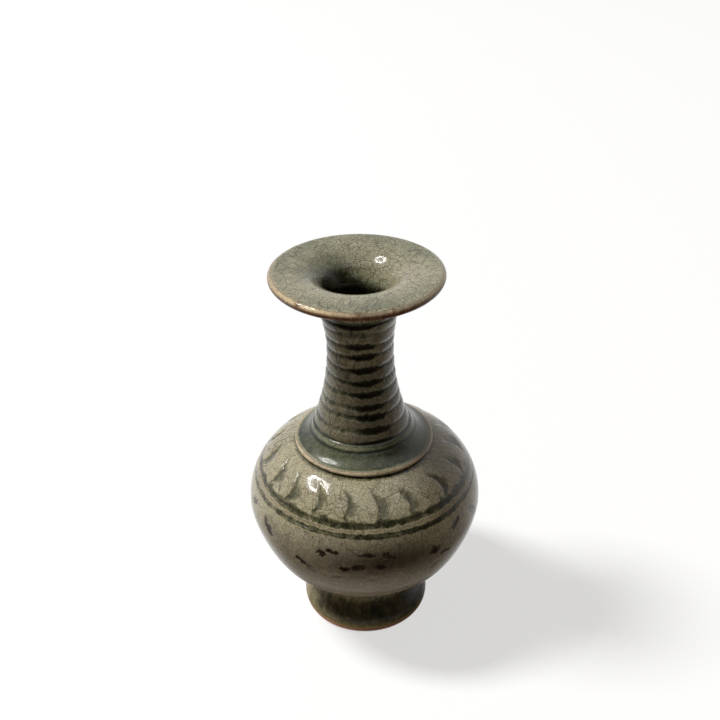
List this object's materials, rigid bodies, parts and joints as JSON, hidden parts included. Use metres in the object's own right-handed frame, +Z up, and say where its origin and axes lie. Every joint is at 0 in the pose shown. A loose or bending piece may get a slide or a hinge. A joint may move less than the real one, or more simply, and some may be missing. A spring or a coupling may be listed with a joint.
{
  "type": "celadon vase",
  "caption": "Small ring-necked bottle vase in crackled celadon with a wide dish mouth, collar flange, carved petal shoulder, round belly and splayed foot.",
  "frame": {"origin": "centre of the foot's resting ring, on the surface that the vase stands on", "axes": "+Z up along the vase's height from foot to mouth; -Y is the side that the picture shows; +X is to its right"},
  "size_m": [0.0892, 0.0892, 0.15],
  "materials": {
    "celadon_glaze": "glossy, finely crackled",
    "dark_foot_glaze": "glossy, pooled thick and dark, with a bare clay resting edge"
  },
  "bodies": {
    "root": {"foot_ring": "dark_foot_glaze", "bowl": "celadon_glaze", "shoulder": "celadon_glaze", "collar": "celadon_glaze", "neck": "celadon_glaze", "mouth": "celadon_glaze"}
  },
  "joints": []
}
